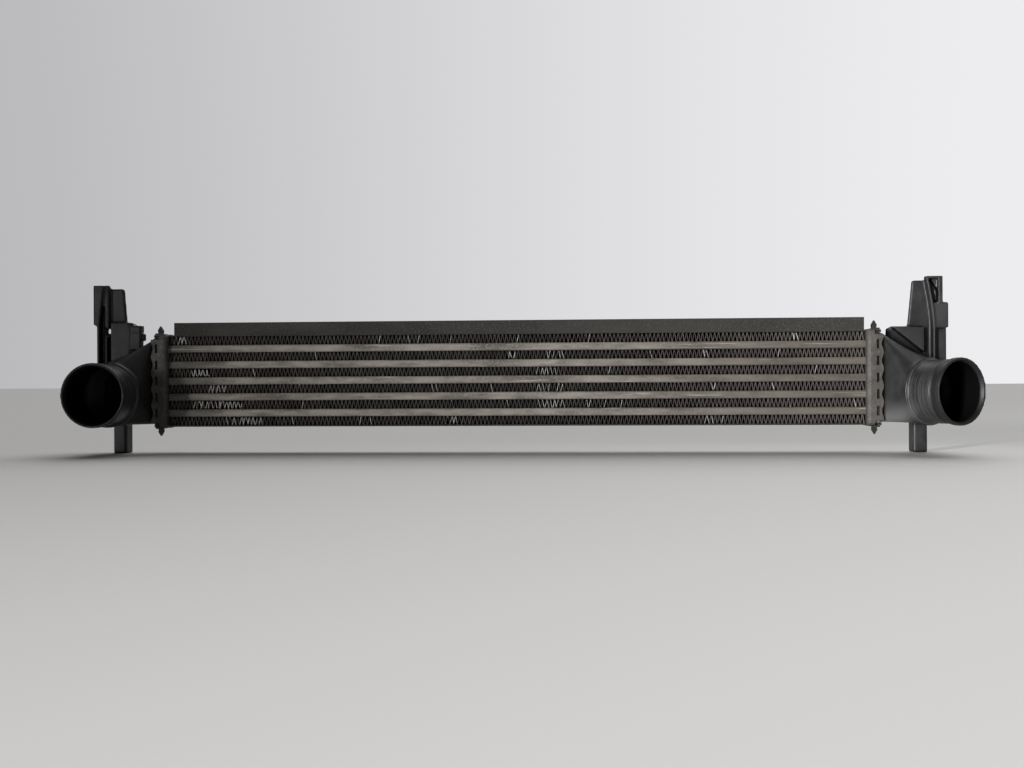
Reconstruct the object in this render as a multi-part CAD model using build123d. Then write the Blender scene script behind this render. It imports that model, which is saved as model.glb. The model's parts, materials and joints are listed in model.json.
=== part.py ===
from math import cos, pi, radians, sin
import os

from build123d import *

os.makedirs("parts", exist_ok=True)

# Charge-air intercooler: a brazed aluminium core of flat tubes and folded fins between two stamped
# headers, with a moulded plastic end tank crimped to each header.
# Everything is drawn about the middle of the core: X along the core, Y to the back, Z up, with
# Z = 0 at the feet of the locating pegs. At the end it is moved so that the foot of the left peg
# is the origin. Millimetres.

# ---------------------------------------------------------------- driving dimensions
# core
TUBE_COUNT = 5
TUBE_T = 6.8  # a tube's outer thickness, along Z
TUBE_WALL = 0.5
NOSE = 0.46  # nose radius as a share of the tube's thickness
FIN_H = 7.6  # height of one row of cooling fins
CORE_DEPTH = 32.0  # along Y
CORE_HALF = 307.3  # middle of the core to the inner face of a header
STACK_Z = 25.4  # underside of the lowest fin row above the peg feet
FIN_PERIOD = 17.0  # length of one full fold of a fin row
FIN_T = 0.35  # strip thickness of the folds
FIN_SET_BACK = 1.6  # fins stop this far inside the tube noses, front and back
FIN_END_GAP = 0.8  # fins stop this short of the headers
TURB_PERIOD = 4.8  # width of one full fold of the inner fin
TURB_EDGE = 0.5  # the inner fin's edges stop this far from the tube's noses
BRAZE_GAP = 0.02

# side plates
PLATE_T = 1.2
PLATE_END_GAP = 0.3
FLANGE_H = 12.3  # top plate's front flange above the fins
FLANGE_LEFT_GAP = 5.3  # flanges stop short of the headers, more so at the left
FLANGE_RIGHT_GAP = 1.2
REAR_FLANGE_H = 6.0
LOWER_LIP_H = 2.4

# header trays, with the crimped edge over the tank foot
TRAY_T = 1.5
TRAY_OVER_CORE = 6.0  # tray beyond the core, front and back
TRAY_OVER_STACK = 2.2  # tray beyond the fins, above and below
TRAY_CORNER = 5.0
TRAY_ROUND = 3.0  # rounding of the drawn edge that faces the core
TRAY_NOTCH = 5.0  # the corners are open from here, inside the foot's outer face
TUBE_STAND_OUT = 1.7  # tube ends beyond the tray floor
SLOT_L = 8.0  # slots in the tray walls, opposite the tubes
SLOT_W = 2.2
SLOT_BACK = 3.8  # inboard edge of a slot, inside the foot's outer face
WAVE_AMP = 1.0  # half height of the waves of the crimped edge
WAVE_STEPS = 4  # straight steps in one wave
LIP_W = 1.8  # crimped lip over the tank foot
TOOTH_LAP = 0.6  # lip teeth reach this far past the ends of the slots
END_LIP_W = 1.5
END_LIP_SPREAD = 0.57  # outer end lips, as a share of the way to the tray's front and back
END_LIP_HALF = 3.4
END_LIP_DROP = 0.7  # end lips step down this far from the tray's outer faces
BEAD_H = 0.9  # bead across the tray at the foot of each end lip
BEAD_L = 3.9
LIP_INSET = 0.2  # lips lie this far inside the tray's outer faces
RIM_JOIN = 0.3  # the wall laps the lips by this much
EAR_H = 7.2  # pointed ears above and below the tray
EAR_HALF = 2.2
EAR_SHOULDER = 3.4  # height of an ear's widest place
EAR_BACK = 4.4  # middle of an ear, inside the foot's outer face
EAR_Y = -14.8
EAR_T = 4.0

# gasket and tank foot
GASKET_T = 2.9
GASKET_W = 3.3
SEAT_GAP = 0.05
FOOT_T = 7.1
FOOT_FIT = 0.3  # clearance of the tank foot in the tray
CRIMP_FIT = 0.1

# tanks
WALL = 2.8
HOOD_FIT = 0.3  # hood inside the crimped lips
HOOD_CORNER = 7.0
NECK_L = 3.1  # the hood leaves the foot straight as far as this
HOOD_FRONT = 26.0  # the hood's front where it meets the duct, forward of the core's middle
HOOD_BACK = 17.0
HOOD_PAST = 0.3  # the hood ends this far beyond the right bracket's foot
HOOD_TAIL = 5.0  # length over which it narrows at its end
HOOD_MIDDLE_CORNER = 16.0
HOOD_UNDER = 0.4  # the hood's underside above the lowest line of the duct
HOOD_OVER = 0.3  # the end of its slope above the duct's highest line
HOOD_END_IN = 3.5  # the hood's end is this much smaller all round
DUCT_RISE = 26.5  # spigot axis above the hood's underside
BODY_R = 26.9  # the funnel where it meets the collar
LAND_R = 26.6
LIP_R = 27.8
GROOVE_R = 25.6
COLLAR_R = 28.7
DUCT_R = 24.0
MOUTH_R = 26.0
FLARE_L = 5.0
COLLAR_L = 2.6
MOUTH_Y = -70.0
FUNNEL_STEPS = 5  # straight steps in each rounded corner of the funnel
FUNNEL_LAP = 1.0  # the funnel starts this far back in the hood's neck
FUNNEL_FIT = 0.15  # and this much inside its walls
# per tank: how far the spigot is turned outward, its mouth from the foot's outer face, lengths of rim,
# groove and land along the spigot, and the end of the hood's slope from the foot's outer face
LEFT_DUCT = dict(turn=0.0, mouth=34.8, rim=8.0, groove=3.0, land=19.0, slope=24.6)
RIGHT_DUCT = dict(turn=31.0, mouth=51.8, rim=6.2, groove=4.8, land=21.3, slope=36.1)
STOP_TAB_W = 6.0  # stop for the hose, in the left spigot's groove
STOP_TAB_OVER = 1.4  # it stands this far beyond the rim
STOP_TAB_FIT = 0.3
STOP_TAB_TURN = -24.0  # from the lowest point of the rim

# locating pegs
PEG_OUT = 37.0  # peg's middle beyond the foot's outer face
PEG_W = 12.2
PEG_D = 15.2
PEG_ROOT = 11.0  # the peg runs this far up into the tank
PEG_CORNER = 1.6

# both brackets: X from the peg's middle, Z from the shelf over the slope
SHELF_OVER = 5.0  # shelf above the fins
PLATE_Y0 = 1.0  # the back plate lies between these two
PLATE_Y1 = 4.6
RIB_Y = -6.0  # front edges of ribs and panels
RIB_T = 2.0
ROOT_Z = 9.0  # the brackets end this far above the spigot axis
ROOT_IN = -15.9  # inner edge of the root
BLADE_H = 40.0
BLADE_ROUND = 1.3
POST_H = 43.2
# right bracket
WEB_IN = 7.0  # the web begins this far beyond the hood's neck
WEB_DROP = 12.0
WEB_LEAN = 0.6
WEB_CORNER = 2.4
WEB_CORNER_L = 4.6
WEB_ROOT = -22.0
BLADE_IN = -7.8
BLADE_LEAN = 3.9
POST_IN = 8.7
POST_OUT = 22.3
FOOT_OUT = 25.3  # outer edge of the post below its step
STEP_Z = -2.0
FOOT_DROP = 6.0  # root's outer corner, below the inner one
FOOT_RISE = 12.0
ROOT_OUT = 12.1
PANEL_OUT = 4.1
PANEL_DROP = 23.0
PANEL_EDGE = 0.7  # the raised panel stops this far inside the web's edges
RIB_X = 13.0  # curved rib: its place at the foot, and how far its top leans in
RIB_LEAN = 6.2
RIB_CURVE = 1.45
RIB_STEPS = 4
WALL_IN = 5.8  # outer wall inside the edge of the post
WALL_W = 3.6  # its width
GUSSET_H = 12.4
GUSSET_BACK = 2.6
STOP_H = 20.4  # block beside the post
STOP_BACK = 1.0  # its front behind that of the ribs
STOP_CORNER = 0.9
# left bracket
SIDE_H = 4.0  # outer edge of the plate beside the blade, and its slope
SIDE_SLOPE = ((-9.9, 8.0), (-3.1, 9.0))
LEFT_BLADE = ((-0.7, 38.6), (0.7, 39.8))
LEFT_BLADE_H = 39.8
LEFT_POST_IN = 13.1
LEFT_POST_OUT = 25.1
HOOK_OUT = 28.1
HOOK_Z = 6.0  # underside of the hook block
HOOK_FACE = 3.9  # the cut front of the block starts this far inside its outer face
HOOK_LOW_IN = 19.7
HOOK_TOP_IN = 15.5
HOOK_TOP_GAP = 0.6
STEP_RIB = (11.7, 15.7, 3.8)
OUTER_RIB_X = 19.5
INNER_RIB_X = 12.7
INNER_RIB_TOP = -3.0
WINDOW = (11.5, 14.7, -1.2, 3.4)
LEFT_PANEL = (-8.3, 8.9, 8.8)  # inner edge, outer edge and top of the front panel
SHOULDER_IN = -13.5
SHOULDER_Z = 3.6
SHOULDER_SLOPE = ((-12.5, 5.8), (-10.7, 8.0))
STEP_RIB_BACK = 3.0  # how far these pieces stop behind the panel's face
INNER_RIB_BACK = 1.5
SHOULDER_BACK = 2.5
# clip socket of the left bracket
SOCKET_X0 = -19.2
SOCKET_X1 = -9.7
SOCKET_Z0 = -16.2
SOCKET_Z1 = 5.6
SOCKET_Y0 = -7.0
SOCKET_Y1 = 1.5
SOCKET_WALL = 1.6
SOCKET_SLOT = 4.0  # width of its pocket
SOCKET_RIM = 0.4
SOCKET_RIM_H = 6.0
LATCH_Z0 = 8.2  # latch on the socket's side, above its foot
LATCH_Z1 = 14.6
LATCH_OUT = 3.0
LATCH_HALF = 2.6
SOCKET_WEB_H = 13.0

# ---------------------------------------------------------------- derived values
PITCH = TUBE_T + FIN_H
STACK_TOP = STACK_Z + TUBE_COUNT * PITCH + FIN_H
TRAY_Z0 = STACK_Z - TRAY_OVER_STACK
TRAY_Z1 = STACK_TOP + TRAY_OVER_STACK
TRAY_Y = CORE_DEPTH / 2 + TRAY_OVER_CORE
TRAY_FLOOR = CORE_HALF + TRAY_T
FOOT_X0 = TRAY_FLOOR + GASKET_T + 2 * SEAT_GAP
FOOT_X1 = FOOT_X0 + FOOT_T
LIP_X0 = FOOT_X1 + CRIMP_FIT
LIP_X1 = LIP_X0 + TRAY_T
SLOT_X = FOOT_X1 - SLOT_BACK
WAVE_MEAN = LIP_X1 - LIP_INSET
NECK_X = FOOT_X1 + NECK_L
PEG_X = FOOT_X1 + PEG_OUT
HOOD_Y = TRAY_Y - TRAY_T - LIP_W - HOOD_FIT
HOOD_Z0 = TRAY_Z0 + TRAY_T + END_LIP_W + HOOD_FIT
HOOD_Z1 = TRAY_Z1 - TRAY_T - END_LIP_W - HOOD_FIT
DUCT_Z = HOOD_Z0 + DUCT_RISE
SHELF_Z = STACK_TOP + SHELF_OVER
tube_z = [STACK_Z + FIN_H + TUBE_T / 2 + i * PITCH for i in range(TUBE_COUNT)]
fin_z = [STACK_Z + FIN_H / 2 + i * PITCH for i in range(TUBE_COUNT + 1)]


# ---------------------------------------------------------------- helpers
def face(points):
    return make_face(Polyline(*points, close=True).edges())


def rectangle(x0, x1, z0, z1):
    return [(x0, z0), (x1, z0), (x1, z1), (x0, z1)]


def slab(points, y_front, y_back):
    """A flat piece drawn in X and Z, between two depths."""
    return extrude(Plane.XZ.offset(-y_back) * face(points), amount=y_back - y_front)


def block(x0, x1, y0, y1, z0, z1):
    return Pos((x0 + x1) / 2, (y0 + y1) / 2, (z0 + z1) / 2) * Box(x1 - x0, y1 - y0, z1 - z0)


def across(x):
    """The plane square to X at x, drawn in Y and Z."""
    return Plane(origin=(x, 0, 0), x_dir=(0, 1, 0), z_dir=(1, 0, 0))


def rounded(y0, y1, z0, z1, r, steps=3):
    """Corner points of a rectangle whose corners are rounded in a few straight steps."""
    points = []
    for i, (y, z) in enumerate(((y1 - r, z1 - r), (y0 + r, z1 - r), (y0 + r, z0 + r), (y1 - r, z0 + r))):
        for k in range(steps + 1):
            a = radians(90 * (i + k / steps))
            points.append((y + r * cos(a), z + r * sin(a)))
    return points


def section(x, points):
    return across(x) * face(points)


def faceted(rings):
    """A closed body through rings of points, each ring given with its X."""
    rings = [[(x, y, z) for y, z in points] for x, points in rings]
    faces = [face(rings[0]), face(rings[-1])]
    for a, b in zip(rings, rings[1:]):
        for i in range(len(a)):
            faces.append(face([a[i - 1], a[i], b[i], b[i - 1]]))
    return Solid(Shell(faces))


def skinned(a, b):
    """A closed body between two rings of points that lie in planes of their own."""
    faces = [face(a), face(b)]
    for i in range(len(a)):
        faces += [face([a[i - 1], a[i], b[i]]), face([a[i - 1], b[i], b[i - 1]])]
    return Solid(Shell(faces))


def folded_strip(length, height, period, thick):
    """Outline of a strip folded as often as fits its length, which runs along the first axis."""
    folds = round(length / period)
    step = length / (2 * folds)
    rise = height - thick
    xs = [-length / 2 + i * step for i in range(2 * folds + 1)]
    low = [(x, -height / 2 + (rise if i % 2 else 0)) for i, x in enumerate(xs)]
    high = [(x, z + thick) for x, z in low]
    return face(low + high[::-1])


# ---------------------------------------------------------------- core
def tube_outline(z, grow):
    """A flat tube's section: rounded noses front and back."""
    d, t = CORE_DEPTH / 2 + grow, TUBE_T / 2 + grow
    return rounded(-d, d, z - t, z + t, NOSE * 2 * t)


def tube(z):
    length = 2 * (TRAY_FLOOR + TUBE_STAND_OUT)
    x = -length / 2
    return extrude(section(x, tube_outline(z, 0)) - section(x, tube_outline(z, -TUBE_WALL)), amount=length)


def turbulator(z):
    length = 2 * TRAY_FLOOR
    width = CORE_DEPTH - TUBE_T - 2 * TURB_EDGE
    strip = folded_strip(width, TUBE_T - 2 * TUBE_WALL - 2 * BRAZE_GAP, TURB_PERIOD, FIN_T)
    return extrude(across(-length / 2) * Pos(0, z) * strip, amount=length)


def fin_row(z):
    half = CORE_DEPTH / 2 - FIN_SET_BACK
    strip = folded_strip(2 * (CORE_HALF - FIN_END_GAP), FIN_H - 2 * BRAZE_GAP, FIN_PERIOD, FIN_T)
    return Pos(0, 0, z) * extrude(Plane.XZ.offset(-half) * strip, amount=2 * half)


def top_side_plate():
    d, t = CORE_DEPTH / 2, PLATE_T
    x, x0, x1 = CORE_HALF - PLATE_END_GAP, FLANGE_LEFT_GAP - CORE_HALF, CORE_HALF - FLANGE_RIGHT_GAP
    z0 = STACK_TOP + BRAZE_GAP
    floor = block(-x, x, -d, d, z0, z0 + t)
    front = block(x0, x1, -d, -d + t, z0, STACK_TOP + FLANGE_H)
    rear = block(x0, x1, d - t, d, z0, STACK_TOP + REAR_FLANGE_H)
    return floor + front + rear


def bottom_side_plate():
    d, t = CORE_DEPTH / 2, PLATE_T
    x, x0, x1 = CORE_HALF - PLATE_END_GAP, FLANGE_LEFT_GAP - CORE_HALF, CORE_HALF - FLANGE_RIGHT_GAP
    z1 = STACK_Z - BRAZE_GAP
    floor = block(-x, x, -d, d, z1 - t, z1)
    rear = block(x0, x1, d - t, d, z1 - LOWER_LIP_H, z1)
    return floor + rear


# ---------------------------------------------------------------- header, drawn on the +X side
def tray_inside(gap):
    """Outline inside the tray's wall, this far clear of it."""
    y, w = TRAY_Y - TRAY_T - gap, TRAY_T + gap
    return rounded(-y, y, TRAY_Z0 + w, TRAY_Z1 - w, TRAY_CORNER - TRAY_T)


def wave_wall(y0, y1):
    """Front or back wall beyond the slots: its free edge waves in step with the tubes."""
    n = WAVE_STEPS * (TUBE_COUNT + 1)
    z0, z1 = TRAY_Z0 + TRAY_CORNER, TRAY_Z1 - TRAY_CORNER
    zs = [z0 + (z1 - z0) * i / n for i in range(n + 1)]
    edge = [(WAVE_MEAN + WAVE_AMP * cos(2 * pi * (z - fin_z[0]) / PITCH), z) for z in zs]
    return slab([(SLOT_X, z1), (SLOT_X, z0)] + edge, y0, y1)


def ear(z, up):
    """A pointed ear on the tray's top (up = 1) or underside (up = -1)."""
    half, neck = EAR_HALF, EAR_HALF * 0.85
    outline = [(-neck, -1), (neck, -1), (neck, 1.4), (half, EAR_SHOULDER)]
    outline += [(0, EAR_H), (-half, EAR_SHOULDER)]
    points = [(FOOT_X1 - EAR_BACK + x, z + up * h) for x, h in outline]
    return slab(points[::up], EAR_Y - EAR_T / 2, EAR_Y + EAR_T / 2)


def tray_ring(a):
    """The tray's outline at an angle round its drawn edge, with its X."""
    i = TRAY_ROUND * (1 - sin(a))
    y = TRAY_Y - i
    return CORE_HALF + TRAY_ROUND * (1 - cos(a)), rounded(-y, y, TRAY_Z0 + i, TRAY_Z1 - i, TRAY_CORNER - i)


def end_lips():
    """Lips along both ends of the tray, each with a bead at its foot."""
    body = Part()
    spread = END_LIP_SPREAD * TRAY_Y
    for z, up in ((TRAY_Z1, 1), (TRAY_Z0, -1)):
        for y in (-spread, 0, spread):
            y0, y1 = y - END_LIP_HALF, y + END_LIP_HALF
            z0, z1 = sorted((z - up * (TRAY_T + END_LIP_W), z - up * END_LIP_DROP))
            body += block(LIP_X0, LIP_X1, y0, y1, z0, z1)
            z0, z1 = sorted((z - up * TRAY_T, z + up * BEAD_H))
            body += block(FOOT_X1 - BEAD_L, LIP_X0 + RIM_JOIN, y0, y1, z0, z1)
    return body


def header():
    rim_x = LIP_X0 + RIM_JOIN
    rings = [tray_ring(radians(a)) for a in (0, 30, 60, 90)]
    tray = faceted([*rings, (rim_x, rings[-1][1])])
    tray -= extrude(section(TRAY_FLOOR, tray_inside(0)), amount=rim_x)
    # open corners, from which the tank's foot shows
    for side in (-1, 1):
        y0, y1 = sorted((side * (TRAY_Y - TRAY_CORNER), side * (TRAY_Y + 1)))
        for z0 in (TRAY_Z0 - 1, TRAY_Z1 - TRAY_CORNER):
            tray -= block(FOOT_X1 - TRAY_NOTCH, rim_x + 1, y0, y1, z0, z0 + TRAY_CORNER + 1)
    for side in (-1, 1):
        y0, y1 = sorted((side * TRAY_Y, side * (TRAY_Y - TRAY_T)))
        tray += wave_wall(y0, y1)
    # crimped lip: teeth between the slots, folded over the tank foot
    lip_y = TRAY_Y - TRAY_T - LIP_W
    half = (PITCH - SLOT_L) / 2 + TOOTH_LAP
    for z in fin_z:
        z0, z1 = max(z - half, TRAY_Z0 + TRAY_CORNER), min(z + half, TRAY_Z1 - TRAY_CORNER)
        for side in (-1, 1):
            y0, y1 = sorted((side * lip_y, side * (TRAY_Y - LIP_INSET)))
            tray += block(LIP_X0, LIP_X1, y0, y1, z0, z1)
    tray += end_lips()
    # slots in the walls and for the tubes
    for z in tube_z:
        tray -= block(SLOT_X, SLOT_X + SLOT_W, -TRAY_Y - 1, TRAY_Y + 1, z - SLOT_L / 2, z + SLOT_L / 2)
        tray -= extrude(section(CORE_HALF - 1, tube_outline(z, BRAZE_GAP)), amount=TRAY_T + 2)
    return tray + ear(TRAY_Z1, 1) + ear(TRAY_Z0, -1)


def gasket():
    x = TRAY_FLOOR + SEAT_GAP
    return extrude(section(x, tray_inside(SEAT_GAP)) - section(x, tray_inside(GASKET_W)), amount=GASKET_T)


# ---------------------------------------------------------------- tanks, drawn on the +X side
def duct_place(duct):
    """Local Z runs from the mouth back into the tank, local X is up and local Y outboard."""
    t = radians(duct["turn"])
    mouth = (FOOT_X1 + duct["mouth"], MOUTH_Y, DUCT_Z)
    return Plane(origin=mouth, x_dir=(0, 0, 1), z_dir=(-sin(t), cos(t), 0))


def collar_start(duct):
    return duct["rim"] + duct["groove"] + duct["land"]


def spigot(duct):
    """The spigot turned in one piece: rim, groove, land and collar."""
    s1 = duct["rim"]
    s2 = s1 + duct["groove"]
    s3 = collar_start(duct)
    s4 = s3 + COLLAR_L
    outline = [
        (0, 0), (LIP_R, 0), (LIP_R, s1), (GROOVE_R, s1), (GROOVE_R, s2), (LAND_R, s2), (LAND_R, s3),
        (COLLAR_R, s3), (COLLAR_R, s4), (0, s4),
    ]
    return duct_place(duct) * revolve(Plane.XZ * face(outline), axis=Axis.Z)


def bore(duct):
    s = collar_start(duct) + COLLAR_L
    outline = [(0, -1), (MOUTH_R, -1), (MOUTH_R, 0), (DUCT_R, FLARE_L), (DUCT_R, s), (0, s)]
    return duct_place(duct) * revolve(Plane.XZ * face(outline), axis=Axis.Z)


def funnel(duct, x, i, r):
    """The body between the hood's neck, shrunk all round by i, and a circle in the spigot's collar."""
    neck = rounded(-HOOD_Y + i, HOOD_Y - i, HOOD_Z0 + i, HOOD_Z1 - i, HOOD_CORNER - i / 2, FUNNEL_STEPS)
    n, place, s = len(neck), duct_place(duct), collar_start(duct) + COLLAR_L / 2
    angles = [2 * pi * (k + 0.5) / n for k in range(n)]
    circle = [tuple(place.from_local_coords(Vector(r * sin(a), r * cos(a), s))) for a in angles]
    return skinned([(x, y, z) for y, z in neck], circle)


def hood(duct, i, x_start, steps):
    """The hood from x_start to its end beyond the peg, shrunk all round by i."""
    z_low, z_high = DUCT_Z - BODY_R, DUCT_Z + BODY_R
    x_slope, x_end = FOOT_X1 + duct["slope"], PEG_X + FOOT_OUT + HOOD_PAST - i
    front, back, r, e = HOOD_FRONT - i, HOOD_BACK - i, HOOD_MIDDLE_CORNER - i, HOOD_END_IN
    mouth = rounded(-HOOD_Y + i, HOOD_Y - i, HOOD_Z0 + i, HOOD_Z1 - i, HOOD_CORNER - i / 2, steps)
    middle = rounded(-front, back, z_low + HOOD_UNDER + i, z_high + HOOD_OVER - i, r, steps)
    last = rounded(-front + e, back - e, z_low + e + i, z_high - e - i, r, steps)
    tail = [(x_end - HOOD_TAIL, middle), (x_end, last)]
    return faceted([(x_start, mouth), (NECK_X, mouth), (x_slope, middle), *tail])


def peg():
    outline = rounded(-PEG_W / 2, PEG_W / 2, -PEG_D / 2, PEG_D / 2, PEG_CORNER, 2)
    return Pos(PEG_X, 0, 0) * extrude(face(outline), amount=HOOD_Z0 + PEG_ROOT)


def tank(duct, bracket):
    neck_x = NECK_X - FUNNEL_LAP
    body = extrude(section(FOOT_X0, tray_inside(FOOT_FIT)), amount=FOOT_T) + hood(duct, 0, FOOT_X1, 3)
    body += funnel(duct, neck_x, FUNNEL_FIT, BODY_R) + spigot(duct)
    body += peg() + bracket
    body -= hood(duct, WALL, TRAY_FLOOR + GASKET_T, 2) + funnel(duct, neck_x, WALL + FUNNEL_FIT, DUCT_R)
    return body - bore(duct)


def bracket_points(points):
    """Points given from the peg's middle and the shelf."""
    return [(PEG_X + x, SHELF_Z + z) for x, z in points]


def right_bracket():
    root, wall_x = DUCT_Z + ROOT_Z - SHELF_Z, POST_OUT - WALL_IN
    web_x, blade_x = NECK_X + WEB_IN - PEG_X, BLADE_IN + BLADE_LEAN
    # back plate: web over the slope, leaning blade and tall post in one sheet
    panel_x = web_x + WEB_LEAN + WEB_CORNER_L
    plate = [
        (web_x, -WEB_DROP), (web_x + WEB_LEAN, -WEB_CORNER), (panel_x, 0), (BLADE_IN, 0),
        (blade_x, BLADE_H - BLADE_ROUND), (blade_x + BLADE_ROUND, BLADE_H), (POST_IN, BLADE_H),
        (POST_IN, POST_H), (POST_OUT, POST_H), (POST_OUT, STEP_Z), (FOOT_OUT, STEP_Z),
        (FOOT_OUT, root + FOOT_RISE), (ROOT_OUT, root - FOOT_DROP), (ROOT_IN, root), (ROOT_IN, WEB_ROOT),
    ]
    # raised panel over the slope
    e = PANEL_EDGE
    panel = [(panel_x, -e), (panel_x - e, -e - WEB_LEAN), (PANEL_OUT, -PANEL_DROP), (PANEL_OUT, -e)]
    # rib that curves in towards the top of the post
    path = [(RIB_X, root)]
    for i in range(RIB_STEPS + 1):
        rise = i / RIB_STEPS
        path.append((RIB_X - RIB_LEAN * rise**RIB_CURVE, POST_H * rise))
    half = RIB_T / 2
    rib = [(x - half, z) for x, z in path] + [(x + half, z) for x, z in path[::-1]]
    # outer walls, top cap with its gusset, and the stop block beside the post
    wall = rectangle(wall_x, wall_x + WALL_W, STOP_H - e, POST_H)
    cap_z = POST_H - RIB_T
    cap = rectangle(RIB_X - RIB_LEAN - half, wall_x + WALL_W, cap_z, POST_H)
    gusset = [(POST_IN + RIB_T, cap_z), (wall_x, POST_H - GUSSET_H), (wall_x, cap_z)]
    x, c = FOOT_OUT, STOP_CORNER
    stop = [(RIB_X, STEP_Z), (x - c, STEP_Z), (x, STEP_Z + c), (x, STOP_H - c), (x - c, STOP_H)]
    stop.append((RIB_X, STOP_H))
    body = slab(bracket_points(plate), PLATE_Y0, PLATE_Y1)
    body += slab(bracket_points(stop), RIB_Y + STOP_BACK, PLATE_Y1)
    for outline in (panel, rib, wall, cap):
        body += slab(bracket_points(outline), RIB_Y, PLATE_Y0)
    return body + slab(bracket_points(gusset), RIB_Y + GUSSET_BACK, PLATE_Y0)


def left_bracket():
    root = DUCT_Z + ROOT_Z - SHELF_Z
    # back plate, with a small window beside the panel
    plate = [
        (ROOT_IN, root), (ROOT_IN, SIDE_H), *SIDE_SLOPE, *LEFT_BLADE, (LEFT_POST_IN, LEFT_BLADE_H),
        (LEFT_POST_IN, POST_H), (HOOK_OUT, POST_H), (HOOK_OUT, HOOK_Z + 1), (LEFT_POST_OUT, HOOK_Z),
        (LEFT_POST_OUT, root),
    ]
    body = slab(bracket_points(plate), PLATE_Y0, PLATE_Y1)
    body -= slab(bracket_points(rectangle(*WINDOW)), PLATE_Y0 - 1, PLATE_Y1 + 1)
    # hook block at the top, its front cut away along a slope, and the step beside it
    hook_x, top = HOOK_OUT - HOOK_FACE, POST_H - HOOK_TOP_GAP
    hook = [(HOOK_LOW_IN, HOOK_Z), (hook_x, HOOK_Z), (hook_x, top), (HOOK_TOP_IN, top)]
    step_in, step_out, step_z = STEP_RIB
    step = rectangle(step_in, step_out, step_z, top)
    # walls of the post below the hook
    outer = rectangle(OUTER_RIB_X, OUTER_RIB_X + RIB_T, root, HOOK_Z)
    inner = rectangle(INNER_RIB_X, INNER_RIB_X + RIB_T, root, INNER_RIB_TOP)
    # front panel and its sloping shoulder
    panel_in, panel_out, panel_z = LEFT_PANEL
    panel = rectangle(panel_in, panel_out, root, panel_z)
    shoulder = [(SHOULDER_IN, root), (SHOULDER_IN, SHOULDER_Z), *SHOULDER_SLOPE]
    shoulder += [(panel_in, panel_z), (panel_in, root)]
    pieces = (
        (hook, 0), (step, STEP_RIB_BACK), (outer, 0), (inner, INNER_RIB_BACK), (panel, 0),
        (shoulder, SHOULDER_BACK),
    )
    for outline, back in pieces:
        body += slab(bracket_points(outline), RIB_Y + back, PLATE_Y0)
    return body


def clip_socket():
    """Open-topped socket over the slope of the left tank, with a rim, a side latch and a web below."""
    x0, x1 = PEG_X + SOCKET_X0, PEG_X + SOCKET_X1
    y0, y1 = SOCKET_Y0, SOCKET_Y1
    z0, z1 = SHELF_Z + SOCKET_Z0, SHELF_Z + SOCKET_Z1
    w, rim = SOCKET_WALL, SOCKET_RIM
    body = block(x0, x1, y0, y1, z0, z1)
    body += block(x0 - rim, x1, y0 - rim, y1, z1 - SOCKET_RIM_H, z1)
    middle = (y0 + y1) / 2
    latch = (x0 - LATCH_OUT, x0 + w, middle - LATCH_HALF, middle + LATCH_HALF, z0 + LATCH_Z0, z0 + LATCH_Z1)
    body += block(*latch)
    body -= block(x0 + w, x0 + w + SOCKET_SLOT, y0 + w, y1 - w, z0 + w, z1 + 1)
    return body + block(x0 + w, x1, y0 + w, y1 - w, z0 - SOCKET_WEB_H, z0 + w)


def stop_tab(duct):
    """A stop for the hose in the spigot's groove, turned a little round from the bottom."""
    r0, r1 = GROOVE_R - 1, LIP_R + STOP_TAB_OVER
    z0, z1 = duct["rim"] + STOP_TAB_FIT, duct["rim"] + duct["groove"] - STOP_TAB_FIT
    place = duct_place(duct) * Rot(0, 0, STOP_TAB_TURN)
    return place * block(-r1, -r0, -STOP_TAB_W / 2, STOP_TAB_W / 2, z0, z1)


# ---------------------------------------------------------------- parts, placed and written
parts = {
    "top_side_plate": top_side_plate(),
    "bottom_side_plate": bottom_side_plate(),
    "right_header": header(),
    "right_gasket": gasket(),
    "right_tank": tank(RIGHT_DUCT, right_bracket()),
    "left_tank": tank(LEFT_DUCT, left_bracket() + clip_socket() + stop_tab(LEFT_DUCT)),
}
parts["left_tank"] = mirror(parts["left_tank"], Plane.YZ)
parts["left_header"] = mirror(parts["right_header"], Plane.YZ)
parts["left_gasket"] = mirror(parts["right_gasket"], Plane.YZ)
for i, z in enumerate(tube_z, 1):
    parts[f"tube_{i}"] = tube(z)
    parts[f"turbulator_{i}"] = turbulator(z)
for i, z in enumerate(fin_z, 1):
    parts[f"fin_{i}"] = fin_row(z)

for name, shape in parts.items():
    export_step(Pos(PEG_X, 0, 0) * shape, f"parts/{name}.step")
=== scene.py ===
# %% [markdown]
# # A charge-air intercooler, dressed for a studio picture
#
# The object is a long brazed core of five flat tubes and six rows of folded fins. A stamped
# aluminium tray closes each end, and a black moulded tank is crimped to each tray.
# The solids come from the CAD part and stay where they are. This notebook adds what a
# manufacturing model leaves out: dense fins with bent edges, soft moulded corners, fine
# grain, dust, scuffs and the light of a small studio.

# %% Set-up
import json
import math
import random

import bpy
import numpy as np
from mathutils import Euler, Matrix, Vector


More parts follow.
